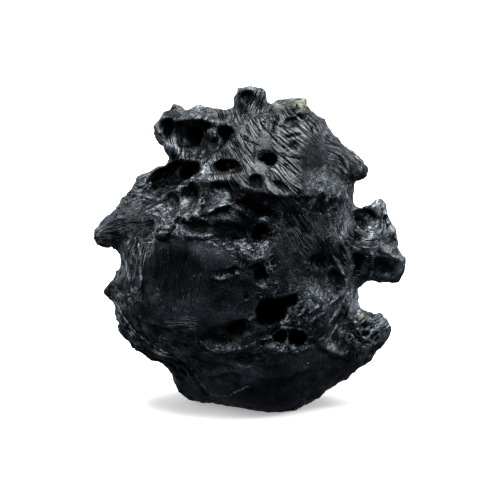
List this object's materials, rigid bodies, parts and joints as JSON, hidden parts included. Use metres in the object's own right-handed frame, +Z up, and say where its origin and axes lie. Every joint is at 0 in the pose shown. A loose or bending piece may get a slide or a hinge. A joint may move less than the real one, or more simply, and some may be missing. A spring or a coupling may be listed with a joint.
{
  "type": "tektite",
  "caption": "Lump of natural black glass with a pitted, scalloped, flow-lined skin, blunt horns on its rim and a small flat at its foot to stand on.",
  "frame": {"origin": "centre of the bounding box in X and Y, on the plane the rock rests on", "axes": "+Z up along the longest extent; the side the picture shows faces -Y; +X to the right of that side; +Y along the shortest extent"},
  "size_m": [0.0562, 0.044, 0.0573],
  "materials": {
    "tektite_glass": "near black natural glass, semi-gloss melted skin with fine flow lines"
  },
  "bodies": {
    "root": {"tektite": "tektite_glass"}
  },
  "joints": []
}
